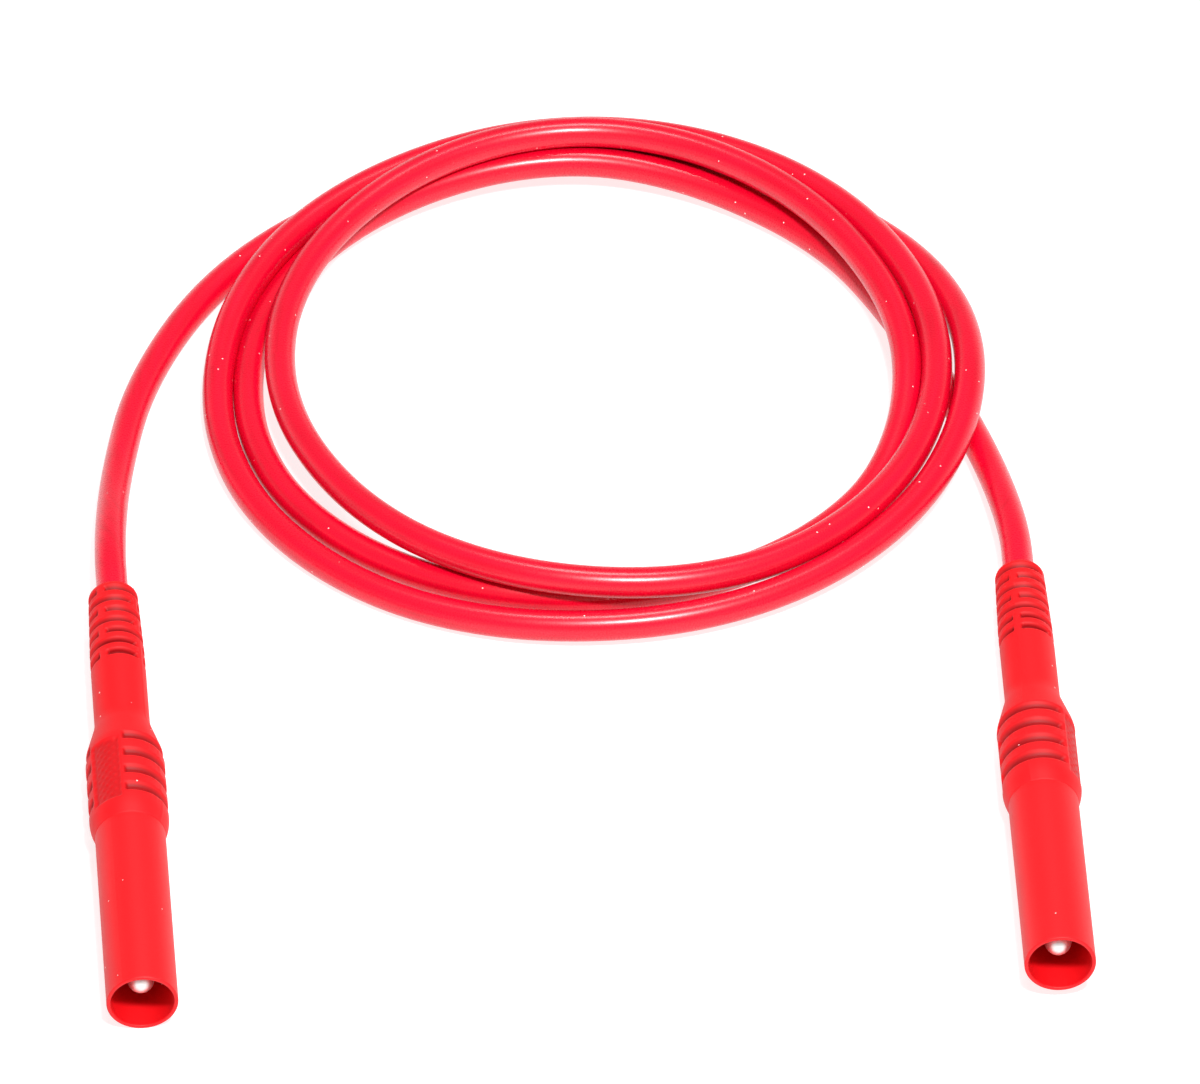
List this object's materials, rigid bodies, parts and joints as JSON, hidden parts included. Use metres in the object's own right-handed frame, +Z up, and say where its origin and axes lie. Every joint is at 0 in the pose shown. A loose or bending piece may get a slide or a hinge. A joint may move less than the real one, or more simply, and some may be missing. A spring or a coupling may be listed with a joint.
{
  "type": "safety test lead",
  "caption": "Flexible insulated test lead laid in a round flat coil, with a straight shrouded 4 mm plug on each end.",
  "frame": {"origin": "on the table plane, under the middle of the box round the two plugs; the cable is left out of that box", "axes": "+X from the left plug to the right plug, +Z up, and both plugs point towards -Y with the coil at +Y"},
  "size_m": [0.1215, 0.1666, 0.0098],
  "materials": {
    "jacket": "satin soft red cable jacket",
    "overmoulding": "matt soft red moulding",
    "shroud": "satin red hard plastic",
    "plated_brass": "bright nickel plating",
    "spring_metal": "nickel-plated spring sheet",
    "copper": "bare fine copper wires",
    "inner_insulation": "white extruded insulation"
  },
  "bodies": {
    "root": {"left_boot": "overmoulding", "left_shroud": "shroud", "left_pin": "plated_brass", "left_strands": "copper", "left_core": "inner_insulation", "left_lead": "jacket", "right_boot": "overmoulding", "right_shroud": "shroud", "right_pin": "plated_brass", "right_strands": "copper", "right_core": "inner_insulation", "right_lead": "jacket", "cable_coil": "jacket"},
    "left_spring": {"left_cage": "spring_metal"},
    "right_spring": {"right_cage": "spring_metal"}
  },
  "joints": [
    {"name": "left_cage_spin", "type": "hinge", "parent": "root", "child": "left_spring", "pos_m": [-0.05262, -0.025, 0.00449], "axis": [0.088, -0.996, -0.0183], "continuous": true},
    {"name": "right_cage_spin", "type": "hinge", "parent": "root", "child": "right_spring", "pos_m": [0.05612, -0.01977, 0.00535], "axis": [0.0331, -0.9993, 0.0192], "continuous": true}
  ]
}
